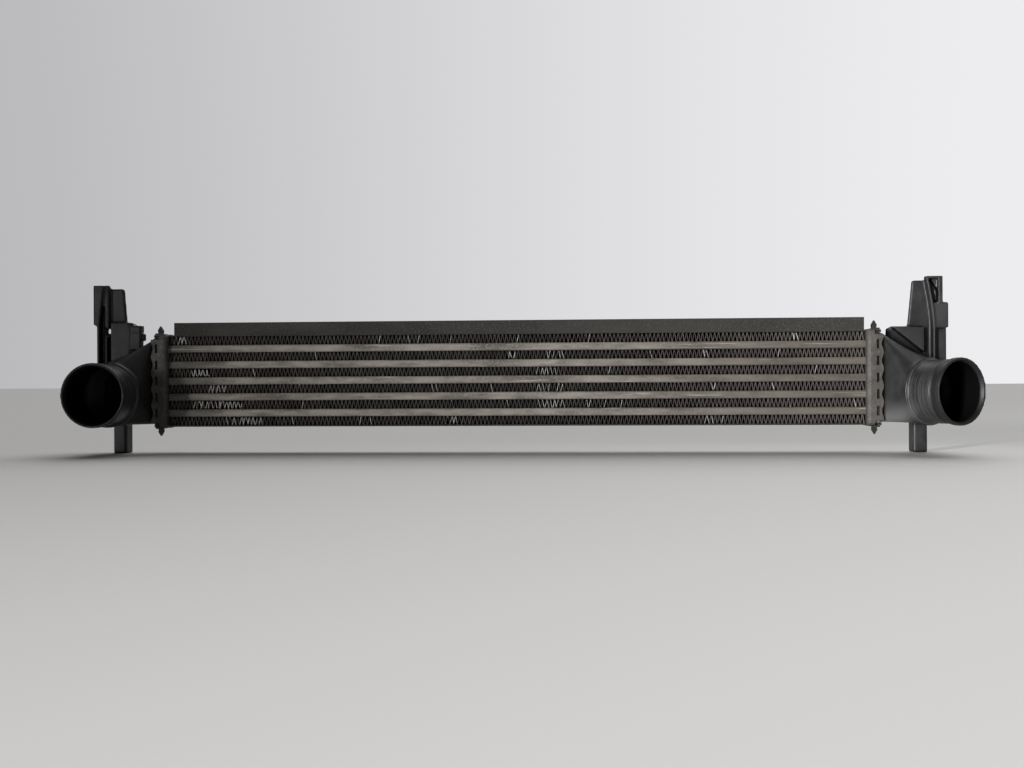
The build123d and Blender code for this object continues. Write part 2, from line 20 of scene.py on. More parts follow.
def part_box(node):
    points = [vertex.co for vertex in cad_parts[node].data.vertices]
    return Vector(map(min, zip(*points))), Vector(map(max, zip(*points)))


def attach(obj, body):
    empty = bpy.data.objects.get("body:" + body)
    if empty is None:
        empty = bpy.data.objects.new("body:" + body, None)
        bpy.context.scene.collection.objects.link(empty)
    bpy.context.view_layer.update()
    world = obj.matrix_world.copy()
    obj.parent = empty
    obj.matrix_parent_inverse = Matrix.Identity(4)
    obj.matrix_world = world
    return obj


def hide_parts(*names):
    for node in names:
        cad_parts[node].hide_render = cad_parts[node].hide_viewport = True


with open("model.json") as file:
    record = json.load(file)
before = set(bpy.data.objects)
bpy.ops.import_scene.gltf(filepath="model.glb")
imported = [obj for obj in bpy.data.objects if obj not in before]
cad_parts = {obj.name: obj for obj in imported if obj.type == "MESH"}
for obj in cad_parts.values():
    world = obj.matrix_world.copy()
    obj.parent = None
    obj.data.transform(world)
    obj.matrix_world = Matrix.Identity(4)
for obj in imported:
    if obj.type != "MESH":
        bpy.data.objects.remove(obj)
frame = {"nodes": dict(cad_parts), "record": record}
nodes = frame["nodes"]
mounts = {mount["name"]: mount for mount in frame["record"]["mounts"]}
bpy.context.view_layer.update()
MM = 0.001

# %% [markdown]
# ## Places read from the frame
#
# The rows, the tubes and the ends of the core could be typed in again as numbers, but they
# would go stale. They are read from the boxes of the CAD nodes instead, so the dressing
# follows the part if its sizes change.

# %% Places read from the frame
def low(name):
    return Vector(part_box(name)[0])


def high(name):
    return Vector(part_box(name)[1])


FIN_ROWS = sorted((n for n in nodes if n.startswith("fin_")), key=lambda n: low(n).z)
TUBES = sorted((n for n in nodes if n.startswith("tube_")), key=lambda n: low(n).z)
CORE_X0, CORE_X1 = low("fin_1").x, high("fin_1").x
CORE_MID = (CORE_X0 + CORE_X1) / 2
FRONT_Y, BACK_Y = low("fin_1").y, high("fin_1").y
TRAY_Z0, TRAY_Z1 = low("left_header").z, high("left_header").z
print("fin rows:", len(FIN_ROWS), "core from", round(CORE_X0, 4), "to", round(CORE_X1, 4))

# %% [markdown]
# ## The camera
#
# A long object near the lens needs the right distance, or its ends come out too large or too
# small. This camera stands a little to the right of the middle, level, near the height of the
# tank mouths, about a metre away, so the right end is slightly the larger.

# %% The camera
IMAGE_W = 1024  # pixels
FOCAL_PX = 1100.0
SENSOR_W = 36.0  # mm
CAMERA_AT = Vector((CORE_MID + 59.9 * MM, -982.4 * MM, 61.0 * MM))
CAMERA_YAW = math.radians(3.47)
CAMERA_ROLL = math.radians(-0.30)


def make_camera():
    data = bpy.data.cameras.new("studio camera")
    data.sensor_width = SENSOR_W
    data.lens = FOCAL_PX / IMAGE_W * SENSOR_W
    data.clip_start, data.clip_end = 0.01, 100.0
    camera = bpy.data.objects.new("studio camera", data)
    bpy.context.collection.objects.link(camera)
    turn = Euler((math.radians(90), 0, CAMERA_YAW)).to_matrix() @ Matrix.Rotation(CAMERA_ROLL, 3, "Z")
    camera.matrix_world = Matrix.Translation(CAMERA_AT) @ turn.to_4x4()
    bpy.context.scene.camera = camera
    print("camera lens", round(data.lens, 2), "mm")


make_camera()

# %% [markdown]
# ## Short words for nodes
#
# A material is a tree of nodes, and each node takes several lines to add and join. These
# small functions say the common ones in a word: a sum, a smooth step between two levels, a
# mix of two colours. An input may be a plain number or another node's output.

# %% Short words for nodes
def add_node(tree, kind, **inputs):
    node = tree.nodes.new(kind)
    for name, value in inputs.items():
        node.inputs[name].default_value = value
    return node


def math_node(tree, operation, a, b=0.0, clamp=False):
    node = tree.nodes.new("ShaderNodeMath")
    node.operation = operation
    node.use_clamp = clamp
    for socket, value in zip(node.inputs, (a, b)):
        if isinstance(value, (int, float)):
            socket.default_value = value
        else:
            tree.links.new(value, socket)
    return node.outputs[0]


def inverse(tree, value):
    return math_node(tree, "SUBTRACT", 1.0, value)


def ramp_node(tree, value, low_at, high_at):
    """A smooth 0 to 1 step of a value between two levels."""
    node = tree.nodes.new("ShaderNodeMapRange")
    node.interpolation_type = "SMOOTHSTEP"
    node.inputs["From Min"].default_value = low_at
    node.inputs["From Max"].default_value = high_at
    tree.links.new(value, node.inputs["Value"])
    return node.outputs["Result"]


def mix_colour(tree, factor, a, b):
    node = tree.nodes.new("ShaderNodeMix")
    node.data_type = "RGBA"
    tree.links.new(factor, node.inputs[0])
    for socket, value in ((node.inputs[6], a), (node.inputs[7], b)):
        if isinstance(value, tuple):
            socket.default_value = (*value, 1.0)
        else:
            tree.links.new(value, socket)
    return node.outputs[2]


def tinted(tree, colour, tint, mask, amount):
    """The colour, moved towards the tint by an amount where the mask is 1."""
    return mix_colour(tree, math_node(tree, "MULTIPLY", mask, amount), colour, tint)


def linear(r, g, b):
    """Display colour from 0 to 255, as the linear values that Blender mixes."""
    out = []
    for c in (r, g, b):
        c /= 255
        out.append(c / 12.92 if c <= 0.04045 else ((c + 0.055) / 1.055) ** 2.4)
    return tuple(out)


print("a mid grey of 128 is", round(linear(128, 128, 128)[0], 3), "in linear light")

# %% [markdown]
# ## Shader groups: grime
#
# Some effects come back in several finishes, so each is a node group with named inputs, made
# once and placed in each material with its own values. The first is grime. On a used part it
# gathers in soft patches with fine specks in it. Two layers of noise give that at any scale,
# without a picture, and the patches also come out as a mask, because dirt is rougher too.

# %% Shader groups: grime
PATCH_EDGE = (0.34, 0.68)  # the noise level at which a patch begins, and where it is full
SPECK_EDGE = (0.50, 0.72)
EVEN = (1, 1, 1)


def new_group(name, inputs, outputs):
    group = bpy.data.node_groups.new(name, "ShaderNodeTree")
    for label, kind, value in inputs:
        socket = group.interface.new_socket(label, in_out="INPUT", socket_type=kind)
        socket.default_value = value
    for label, kind in outputs:
        group.interface.new_socket(label, in_out="OUTPUT", socket_type=kind)
    print("shader group:", name)
    return group, group.nodes.new("NodeGroupInput"), group.nodes.new("NodeGroupOutput")


def stretched_coords(tree, stretch):
    """Places on the object in metres, multiplied by the stretch on each axis."""
    coord = tree.nodes.new("ShaderNodeTexCoord")
    scaled = tree.nodes.new("ShaderNodeVectorMath")
    scaled.operation = "MULTIPLY"
    tree.links.new(coord.outputs["Object"], scaled.inputs[0])
    if isinstance(stretch, tuple):
        scaled.inputs[1].default_value = stretch
    else:
        tree.links.new(stretch, scaled.inputs[1])
    return scaled.outputs[0]


def noise_at(tree, place, scale, detail, roughness=0.6):
    noise = add_node(tree, "ShaderNodeTexNoise", Detail=detail, Roughness=roughness)
    tree.links.new(place, noise.inputs["Vector"])
    if isinstance(scale, (int, float)):
        noise.inputs["Scale"].default_value = scale
    else:
        tree.links.new(scale, noise.inputs["Scale"])
    return noise.outputs["Fac"]


def make_grime_group():
    group, gin, gout = new_group(
        "Grime",
        [
            ("Clean", "NodeSocketColor", (0.5, 0.5, 0.5, 1)),
            ("Dirt", "NodeSocketColor", (0.1, 0.09, 0.08, 1)),
            ("Speck", "NodeSocketColor", (0.7, 0.7, 0.7, 1)),
            ("Patch Scale", "NodeSocketFloat", 30.0),
            ("Speck Scale", "NodeSocketFloat", 900.0),
            ("Dirt Amount", "NodeSocketFloat", 0.5),
            ("Speck Amount", "NodeSocketFloat", 0.3),
            ("Stretch", "NodeSocketVector", EVEN),
        ],
        [("Colour", "NodeSocketColor"), ("Mask", "NodeSocketFloat")],
    )
    place = stretched_coords(group, gin.outputs["Stretch"])
    patches = noise_at(group, place, gin.outputs["Patch Scale"], 6.0, 0.68)
    specks = noise_at(group, stretched_coords(group, EVEN), gin.outputs["Speck Scale"], 2.0)
    patch = ramp_node(group, patches, *PATCH_EDGE)
    patch = math_node(group, "MULTIPLY", patch, gin.outputs["Dirt Amount"], clamp=True)
    speck = ramp_node(group, specks, *SPECK_EDGE)
    speck = math_node(group, "MULTIPLY", speck, gin.outputs["Speck Amount"], clamp=True)
    colour = mix_colour(group, patch, gin.outputs["Clean"], gin.outputs["Dirt"])
    colour = mix_colour(group, speck, colour, gin.outputs["Speck"])
    group.links.new(colour, gout.inputs["Colour"])
    group.links.new(patch, gout.inputs["Mask"])
    return group


GRIME = make_grime_group()

# %% [markdown]
# ## Shader groups: grain
#
# A moulded or rolled surface has a grain that only the light shows. Real relief would take
# millions of faces, so a noise tips the surface's normal instead. Stretching the noise along
# the object turns the same grain into the drawn look of rolled metal.

# %% Shader groups: grain
def make_grain_group():
    group, gin, gout = new_group(
        "Grain",
        [
            ("Scale", "NodeSocketFloat", 1500.0),
            ("Strength", "NodeSocketFloat", 0.2),
            ("Depth", "NodeSocketFloat", 0.0002),
            ("Stretch", "NodeSocketVector", EVEN),
        ],
        [("Normal", "NodeSocketVector")],
    )
    place = stretched_coords(group, gin.outputs["Stretch"])
    bump = group.nodes.new("ShaderNodeBump")
    group.links.new(noise_at(group, place, gin.outputs["Scale"], 3.0), bump.inputs["Height"])
    group.links.new(gin.outputs["Strength"], bump.inputs["Strength"])
    group.links.new(gin.outputs["Depth"], bump.inputs["Distance"])
    group.links.new(bump.outputs["Normal"], gout.inputs["Normal"])
    return group


GRAIN = make_grain_group()

# %% [markdown]
# ## Shader groups: recesses and upward faces
#
# Corners and recesses get painted shade, where less light falls. Ambient occlusion finds
# them, because it measures how closed in a place is. Faces that look up get painted shade too,
# because the light comes in low, and the height part of the normal finds those.

# %% Shader groups: recesses and upward faces
RECESS_EDGE = (0.15, 0.75)  # how closed in a place is where the painted shade begins, and where it is full
UPWARD_EDGE = (0.3, 0.7)  # height part of the normal, the same way


# Painted shade: a mask that is 1 in recesses.
def make_recess_shade_group():
    group, gin, gout = new_group(
        "Recess shade",
        [("Reach", "NodeSocketFloat", 0.012), ("Amount", "NodeSocketFloat", 1.0)],
        [("Mask", "NodeSocketFloat")],
    )
    near = group.nodes.new("ShaderNodeAmbientOcclusion")
    near.samples = 8
    group.links.new(gin.outputs["Reach"], near.inputs["Distance"])
    closed = ramp_node(group, inverse(group, near.outputs["AO"]), *RECESS_EDGE)
    mask = math_node(group, "MULTIPLY", closed, gin.outputs["Amount"], clamp=True)
    group.links.new(mask, gout.inputs["Mask"])
    return group


# Painted shade: a mask that is 1 on faces that look up.
def make_upward_shade_group():
    group, gin, gout = new_group(
        "Upward shade",
        [("Amount", "NodeSocketFloat", 1.0)],
        [("Mask", "NodeSocketFloat")],
    )
    geometry = group.nodes.new("ShaderNodeNewGeometry")
    split = group.nodes.new("ShaderNodeSeparateXYZ")
    group.links.new(geometry.outputs["Normal"], split.inputs[0])
    upward = ramp_node(group, split.outputs[2], *UPWARD_EDGE)
    mask = math_node(group, "MULTIPLY", upward, gin.outputs["Amount"])
    group.links.new(mask, gout.inputs["Mask"])
    return group


RECESS_SHADE = make_recess_shade_group()
UPWARD_SHADE = make_upward_shade_group()

# %% [markdown]
# ## One way to build every finish
#
# Each finish here is grime over a surface with grain, and it is duller where it is dirty. One
# function builds that from the groups and their values, with painted shade in recesses where a
# finish asks for it. What is special to a piece, such as the painted shade at the end of a
# tube, comes in as a small function that changes the colour.

# %% One way to build every finish
# The colour of painted shade, in recesses and on faces that look up.
SHADE_BLACK = linear(6, 6, 6)


def use_group(tree, group, values):
    node = tree.nodes.new("ShaderNodeGroup")
    node.node_tree = group
    for label, value in values.items():
        is_colour = isinstance(value, tuple) and node.inputs[label].type == "RGBA"
        node.inputs[label].default_value = (*value, 1.0) if is_colour else value
    return node


def axis_value(tree, axis):
    """The place along one axis, in metres."""
    coord = tree.nodes.new("ShaderNodeTexCoord")
    split = tree.nodes.new("ShaderNodeSeparateXYZ")
    tree.links.new(coord.outputs["Object"], split.inputs[0])
    return split.outputs[axis]


def from_middle(tree, axis, middle):
    """How far a place is from a middle along one axis, either way, in metres."""
    return math_node(tree, "ABSOLUTE", math_node(tree, "SUBTRACT", axis_value(tree, axis), middle))


def make_material(name, grime, grain, roughness, metallic=0.0, specular=0.5, recess_shade=None, more=None):
    """grime, grain and the recess shade are values of the groups' inputs; the recess shade is
    painted shade in recesses. roughness is that of the clean and of the dirty surface.
    more(tree, colour) gives back a changed colour."""
    material = bpy.data.materials.new(name)
    material.use_nodes = True
    tree = material.node_tree
    shader = tree.nodes["Principled BSDF"]
    shader.inputs["Metallic"].default_value = metallic
    shader.inputs["Specular IOR Level"].default_value = specular
    dirt = use_group(tree, GRIME, grime)
    rough = tree.nodes.new("ShaderNodeMapRange")
    rough.inputs["To Min"].default_value = roughness[0]
    rough.inputs["To Max"].default_value = roughness[1]
    tree.links.new(dirt.outputs["Mask"], rough.inputs["Value"])
    tree.links.new(rough.outputs["Result"], shader.inputs["Roughness"])
    colour = dirt.outputs["Colour"]
    if more:
        colour = more(tree, colour)
    # Painted shade in recesses, found by ambient occlusion.
    if recess_shade:
        shade_node = use_group(tree, RECESS_SHADE, recess_shade)
        colour = mix_colour(tree, shade_node.outputs["Mask"], colour, SHADE_BLACK)
    tree.links.new(colour, shader.inputs["Base Color"])
    bump = use_group(tree, GRAIN, grain)
    tree.links.new(bump.outputs["Normal"], shader.inputs["Normal"])
    print("finish:", name)
    return material


# %% [markdown]
# ## Tubes: road-worn aluminium
#
# The tubes are mill-finish aluminium that has been on the road: browner in long patches, and
# marked by fine lengthwise scratches. Next to the left tray they get painted shade, where the
# left spigot's shadow falls, and towards the right painted shade where less light falls.
# Full metal would mirror the room, and a weathered skin doesn't, so it is only a little
# metallic. Each mark is one soft mask that tints the colour under it.

# %% Tubes: road-worn aluminium
BARE_SCRATCH = linear(186, 182, 174)
# The first two colours are painted shade; the third is the brown of the long patches.
TUBE_LEFT_SHADE, TUBE_RIGHT_SHADE, TUBE_WARM = linear(58, 56, 55), linear(72, 69, 62), linear(118, 104, 95)
LEFT_SHADE_SPAN = (12 * MM, 62 * MM)  # past the core's left end: all painted shade, and none
RIGHT_SHADE_SPAN = (0.0, 300 * MM)  # right of the core's middle: no painted shade, and all
WARM_STRETCH, WARM_SCALE, WARM_EDGE = (0.35, 1, 1), 70.0, (0.55, 0.68)
LINE_STRETCH, LINE_SCALE, LINE_EDGE = (0.02, 1, 1), 700.0, (0.62, 0.70)
BREAK_STRETCH, BREAK_SCALE, BREAK_EDGE = (0.4, 1, 1), 90.0, (0.48, 0.58)


def scratch_mask(tree):
    """Thin lines along the object, broken up by a coarser noise."""
    lines = noise_at(tree, stretched_coords(tree, LINE_STRETCH), LINE_SCALE, 1.0)
    breaks = noise_at(tree, stretched_coords(tree, BREAK_STRETCH), BREAK_SCALE, 2.0)
    line, whole = ramp_node(tree, lines, *LINE_EDGE), ramp_node(tree, breaks, *BREAK_EDGE)
    return math_node(tree, "MULTIPLY", line, whole)


def tube_wear_and_shade(tree, colour):
    x = axis_value(tree, 0)
    # Painted shade next to the left tray, where the left spigot's shadow falls on the tubes.
    left_shade = inverse(tree, ramp_node(tree, x, CORE_X0 + LEFT_SHADE_SPAN[0], CORE_X0 + LEFT_SHADE_SPAN[1]))
    colour = tinted(tree, colour, TUBE_LEFT_SHADE, left_shade, 0.62)
    # Painted shade towards the right end, where less light falls.
    right_shade = ramp_node(tree, x, CORE_MID + RIGHT_SHADE_SPAN[0], CORE_MID + RIGHT_SHADE_SPAN[1])
    colour = tinted(tree, colour, TUBE_RIGHT_SHADE, right_shade, 0.75)
    warm = noise_at(tree, stretched_coords(tree, WARM_STRETCH), WARM_SCALE, 2.0)
    colour = tinted(tree, colour, TUBE_WARM, ramp_node(tree, warm, *WARM_EDGE), 0.3)
    return tinted(tree, colour, BARE_SCRATCH, scratch_mask(tree), 0.5)


TUBE_METAL = make_material(
    "Tube aluminium",
    grime={
        "Clean": linear(150, 144, 135), "Dirt": linear(84, 80, 73), "Speck": linear(166, 161, 152),
        "Patch Scale": 75.0, "Speck Scale": 800.0, "Dirt Amount": 0.85, "Speck Amount": 0.6,
        "Stretch": (0.3, 1, 1),
    },
    grain={"Scale": 1100.0, "Strength": 0.4, "Depth": 0.0002, "Stretch": (0.35, 1, 1)},
    roughness=(0.55, 0.75), metallic=0.15, specular=0.35, more=tube_wear_and_shade,
)

# %% [markdown]
# ## Fins: pale at the edge, black inside
#
# Wind and rain keep the fins' edges pale. The spaces between the folds look brown-black,
# because light that falls between real fins is lost after many bounces. Darkening the strip a
# few millimetres in is painted shade, which gives that look with fewer bounces. A stone bends
# a fold and bares its metal, so the bent folds get a second, bright finish.

# %% Fins: pale at the edge, black inside
FIN_DEEP_SHADE = linear(6, 5, 5)
FIN_SHADE = (4.5 * MM, -0.5 * MM)  # inside the row's faces: all painted shade, and none


# Painted shade a few millimetres in from the row's faces.
def fin_painted_shade(tree, colour):
    half = (BACK_Y - FRONT_Y) / 2
    off_middle = from_middle(tree, 1, (FRONT_Y + BACK_Y) / 2)
    outer = ramp_node(tree, off_middle, half - FIN_SHADE[0], half - FIN_SHADE[1])
    return mix_colour(tree, outer, FIN_DEEP_SHADE, colour)


FIN_METAL = make_material(
    "Fin aluminium",
    grime={
        "Clean": linear(122, 115, 112), "Dirt": linear(82, 75, 72), "Speck": linear(160, 154, 150),
        "Patch Scale": 60.0, "Speck Scale": 600.0, "Dirt Amount": 0.6, "Speck Amount": 0.25,
    },
    grain={"Scale": 700.0, "Strength": 0.2, "Depth": 0.0001},
    roughness=(0.55, 0.75), metallic=0.15, specular=0.35, more=fin_painted_shade,
)
BARE_METAL = make_material(
    "Bared aluminium",
    grime={
        "Clean": linear(222, 219, 214), "Dirt": linear(178, 174, 168), "Speck": linear(236, 234, 230),
        "Patch Scale": 300.0, "Speck Scale": 1500.0, "Dirt Amount": 0.5, "Speck Amount": 0.5,
    },
    grain={"Scale": 900.0, "Strength": 0.2, "Depth": 0.0001},
    roughness=(0.4, 0.6), metallic=0.3,
)

# %% [markdown]
# ## Trays and side plates
#
# The stamped trays are the same aluminium, cast over with road dust, and their folded corners
# above and below the tubes are baked dark. The side plates are nearly black with baked grime,
# and pale specks show where grit has chipped it.

# %% Trays and side plates
BAKED = linear(20, 19, 18)
BAKED_CORNERS = (11 * MM, 5 * MM)  # inside the tray's ends: none, and all baked


def tray_soot(tree, colour):
    half = (TRAY_Z1 - TRAY_Z0) / 2
    off_middle = from_middle(tree, 2, (TRAY_Z0 + TRAY_Z1) / 2)
    corners = ramp_node(tree, off_middle, half - BAKED_CORNERS[0], half - BAKED_CORNERS[1])
    return tinted(tree, colour, BAKED, corners, 0.8)


TRAY_METAL = make_material(
    "Header aluminium",
    grime={
        "Clean": linear(84, 81, 78), "Dirt": linear(54, 51, 48), "Speck": linear(112, 109, 105),
        "Patch Scale": 80.0, "Speck Scale": 700.0, "Dirt Amount": 0.7, "Speck Amount": 0.5,
    },
    grain={"Scale": 900.0, "Strength": 0.35, "Depth": 0.0002},
    roughness=(0.55, 0.78), metallic=0.15, specular=0.35,
    # Painted shade in the tray's recesses.
    recess_shade={"Reach": 0.004, "Amount": 0.8}, more=tray_soot,
)
PLATE_METAL = make_material(
    "Side plate",
    grime={
        "Clean": linear(52, 51, 48), "Dirt": linear(38, 37, 34), "Speck": linear(78, 76, 72),
        "Patch Scale": 26.0, "Speck Scale": 620.0, "Dirt Amount": 0.7, "Speck Amount": 0.75,
        "Stretch": (0.4, 1, 1),
    },
    grain={"Scale": 1400.0, "Strength": 0.5, "Depth": 0.0002},
    roughness=(0.6, 0.82), specular=0.3,
)

# %% [markdown]
# ## Shader groups: the turned spigot
#
# The mould of a spigot is turned on a lathe, so the moulding carries fine rings round its
# axis. Rings drawn along X or Y would be askew on the spigot that points outwards. So the
# group measures along the axis of the clamp mount, and the rings stay square to each spigot.
# The same distances find the lip and the groove behind it, which are darkened together: the
# lip's own dark colour, and painted shade in the groove. They also find the bore, which is
# black.

# %% Shader groups: the turned spigot
SPIGOT_LENGTH = 36 * MM
BORE_RADIUS = 24 * MM
BORE_EDGE = (BORE_RADIUS + 0.4 * MM, BORE_RADIUS + 1.2 * MM)
BORE_MOUTH = (-1 * MM, 3 * MM)  # along the axis from the middle of the rim
BORE_END = (-0.9 * SPIGOT_LENGTH, -0.8 * SPIGOT_LENGTH)
RING_SCALE, RING_EDGE = 1300.0, (0.52, 0.60)
RING_FADE = (-SPIGOT_LENGTH, -SPIGOT_LENGTH + 6 * MM)
GROOVE_EDGE = (-0.3 * MM, 0.2 * MM)
RING_SHADE, RING_LINE, LIP_AND_GROOVE_DARK = linear(14, 14, 15), linear(100, 100, 102), linear(10, 10, 11)


def spigot_places(tree, rim_at, axis):
    """Distance along the spigot's axis from the middle of its rim, and distance from the axis."""
    coord = tree.nodes.new("ShaderNodeTexCoord")
    offset, along, foot, away, radius = (tree.nodes.new("ShaderNodeVectorMath") for _ in range(5))
    offset.operation, along.operation, foot.operation = "SUBTRACT", "DOT_PRODUCT", "SCALE"
    away.operation, radius.operation = "SUBTRACT", "LENGTH"
    tree.links.new(coord.outputs["Object"], offset.inputs[0])
    tree.links.new(rim_at, offset.inputs[1])
    tree.links.new(offset.outputs[0], along.inputs[0])
    tree.links.new(axis, along.inputs[1])
    tree.links.new(axis, foot.inputs[0])
    tree.links.new(along.outputs["Value"], foot.inputs["Scale"])
    tree.links.new(offset.outputs[0], away.inputs[0])
    tree.links.new(foot.outputs[0], away.inputs[1])
    tree.links.new(away.outputs[0], radius.inputs[0])
    return along.outputs["Value"], radius.outputs["Value"]


def bore_mask(tree, along, radius):
    """1 on the wall of the bore, 0 outside it."""
    inside = inverse(tree, ramp_node(tree, radius, *BORE_EDGE))
    behind_mouth = inverse(tree, ramp_node(tree, along, *BORE_MOUTH))
    before_end = ramp_node(tree, along, *BORE_END)
    return math_node(tree, "MULTIPLY", math_node(tree, "MULTIPLY", inside, behind_mouth), before_end)


def make_spigot_group():
    group, gin, gout = new_group(
        "Turned spigot",
        [
            ("Colour", "NodeSocketColor", (0.02, 0.02, 0.02, 1)),
            ("Rim At", "NodeSocketVector", (0, 0, 0)),
            ("Axis", "NodeSocketVector", (0, -1, 0)),
            ("Groove Reach", "NodeSocketFloat", 0.007),
        ],
        [("Colour", "NodeSocketColor"), ("Bore", "NodeSocketFloat")],
    )
    along, radius = spigot_places(group, gin.outputs["Rim At"], gin.outputs["Axis"])
    rings = add_node(group, "ShaderNodeTexNoise", Detail=2.0, Roughness=0.7, Scale=RING_SCALE)
    rings.noise_dimensions = "1D"
    group.links.new(along, rings.inputs["W"])
    turned = ramp_node(group, along, *RING_FADE)
    colour = tinted(group, gin.outputs["Colour"], RING_SHADE, turned, 0.4)
    lines = math_node(group, "MULTIPLY", ramp_node(group, rings.outputs["Fac"], *RING_EDGE), turned)
    colour = tinted(group, colour, RING_LINE, lines, 0.45)
    # The lip and the groove behind it are darkened: the lip's own dark colour, and painted shade in the
    # groove.
    past_groove = math_node(group, "ADD", along, gin.outputs["Groove Reach"])
    lip_and_groove = ramp_node(group, past_groove, *GROOVE_EDGE)
    colour = tinted(group, colour, LIP_AND_GROOVE_DARK, lip_and_groove, 0.72)
    group.links.new(colour, gout.inputs["Colour"])
    group.links.new(bore_mask(group, along, radius), gout.inputs["Bore"])
    return group


SPIGOT = make_spigot_group()

# %% [markdown]
# ## The moulded tanks
#
# The tanks are glass-filled nylon, weathered to a dusty dark grey, and the faces that look up
# are darkened with painted shade, because the light comes in low. The left tank's colours are
# darker than the right's, as painted shade, and the low corner of the right hood has a pale
# painted highlight, where its rounded bottom catches light from the floor. The bore is black
# and has no gloss.

# %% The moulded tanks
GROOVE_WIDTH = {"left": 3.0 * MM, "right": 4.8 * MM}
BORE_BLACK = linear(9, 9, 10)
FLOOR_BOUNCE_HIGHLIGHT = linear(118, 117, 117)
PLASTIC_GLOSS = 0.35
HIGHLIGHT_PAST_CORE = (24 * MM, 36 * MM)  # past the core's right end: all painted highlight, and none
HIGHLIGHT_HEIGHT = (24 * MM, 50 * MM)  # above the floor, the same way


def low_corner_highlight(tree, colour):
    """A pale painted highlight in the low corner of the hood, next to the right tray, where the rounded
    bottom catches light from the floor.
    """
    near = ramp_node(tree, axis_value(tree, 0), CORE_X1 + HIGHLIGHT_PAST_CORE[0], CORE_X1 + HIGHLIGHT_PAST_CORE[1])
    above = ramp_node(tree, axis_value(tree, 2), *HIGHLIGHT_HEIGHT)
    mask = math_node(tree, "MULTIPLY", inverse(tree, near), inverse(tree, above))
    return tinted(tree, colour, FLOOR_BOUNCE_HIGHLIGHT, mask, 0.75)


def tank_wear(side):
    mount = mounts[side + "_spigot_rim"]
    rim = mount["dims"]["length_mm"] * MM / 2
    places = {"Rim At": mount["pos_m"], "Axis": mount["axis"], "Groove Reach": rim + GROOVE_WIDTH[side]}

    def more(tree, colour):
        spigot = use_group(tree, SPIGOT, places)
        tree.links.new(colour, spigot.inputs["Colour"])
        # Painted shade on the faces that look up.
        upward_shade = use_group(tree, UPWARD_SHADE, {"Amount": 0.75})
        colour = mix_colour(tree, upward_shade.outputs["Mask"], spigot.outputs["Colour"], SHADE_BLACK)
        # A pale painted highlight in the low corner of the right hood.
        if side == "right":
            colour = low_corner_highlight(tree, colour)
        gloss = math_node(tree, "MULTIPLY", inverse(tree, spigot.outputs["Bore"]), PLASTIC_GLOSS)
        tree.links.new(gloss, tree.nodes["Principled BSDF"].inputs["Specular IOR Level"])
        return mix_colour(tree, spigot.outputs["Bore"], colour, BORE_BLACK)

    return more


def tank_plastic(side, clean, dust, roughness):
    return make_material(
        "Tank plastic " + side,
        grime={
            "Clean": clean, "Dirt": dust, "Speck": linear(84, 83, 82),
            "Patch Scale": 30.0, "Speck Scale": 1400.0, "Dirt Amount": 0.7, "Speck Amount": 0.12,
        },
        grain={"Scale": 1300.0, "Strength": 0.25, "Depth": 0.0002},
        roughness=roughness, specular=PLASTIC_GLOSS,
        # Painted shade in the tank's recesses.
        recess_shade={"Reach": 0.016, "Amount": 0.95}, more=tank_wear(side),
    )


# The left tank's colours are darker than the right's: painted shade, for the shade that the left tank
# stands in.
LEFT_PLASTIC = tank_plastic("left", linear(26, 26, 28), linear(40, 39, 39), (0.40, 0.60))
RIGHT_PLASTIC = tank_plastic("right", linear(30, 30, 32), linear(56, 55, 55), (0.42, 0.62))

# %% [markdown]
# ## The seals, and each finish on its pieces
#
# A rubber frame is squeezed between each tray and its tank. Only its edge can be seen, so a
# plain dull black with a little grain is enough. Then each CAD node gets the finish that its
# name calls for. The inner fins take the same metal as the outer ones.

# %% The seals, and each finish on its pieces
RUBBER = make_material(
    "Gasket rubber",
    grime={
        "Clean": linear(14, 14, 15), "Dirt": linear(26, 25, 24),
        "Dirt Amount": 0.4, "Speck Amount": 0.05,
    },
    grain={"Scale": 900.0, "Strength": 0.3, "Depth": 0.0002},
    roughness=(0.7, 0.85),
)


def finish_for(name):
    if name.startswith("tube_"):
        return TUBE_METAL
    if name.startswith(("fin_", "turbulator_")):
        return FIN_METAL
    if name.endswith("_plate"):
        return PLATE_METAL
    if name.endswith("_header"):
        return TRAY_METAL
    if name.endswith("_gasket"):
        return RUBBER
    return LEFT_PLASTIC if name.startswith("left_") else RIGHT_PLASTIC


for name, obj in nodes.items():
    obj.data.materials.clear()
    obj.data.materials.append(finish_for(name))
print("finished CAD nodes:", len(nodes))

# %% [markdown]
# ## Dense fins: the line of one strip
#
# A real fin row is one thin strip, folded every few millimetres between two tubes. It could
# be a texture, but light has to fall in between the folds, so it is built. The start is the
# strip's centre line seen from the front: a zigzag whose tips are a little flattened where
# they are brazed. Each tip is off its place by a hair, as on a real fin.

# %% Dense fins: the line of one strip
FOLD = 3.5 * MM  # length of one full fold
STRIP_T = 0.26 * MM
TIP_HALF = 0.32 * MM  # half width of a flattened tip
TIP_JITTER = 0.10 * MM
POINTS_A_TIP = 3


def new_object(name, verts, faces, material, smooth=False):
    mesh = bpy.data.meshes.new(name)
    mesh.from_pydata(verts, [], faces)
    mesh.validate()
    if smooth:
        mesh.shade_smooth()
    obj = bpy.data.objects.new(name, mesh)
    bpy.context.collection.objects.link(obj)
    if material:
        mesh.materials.append(material)
    return obj


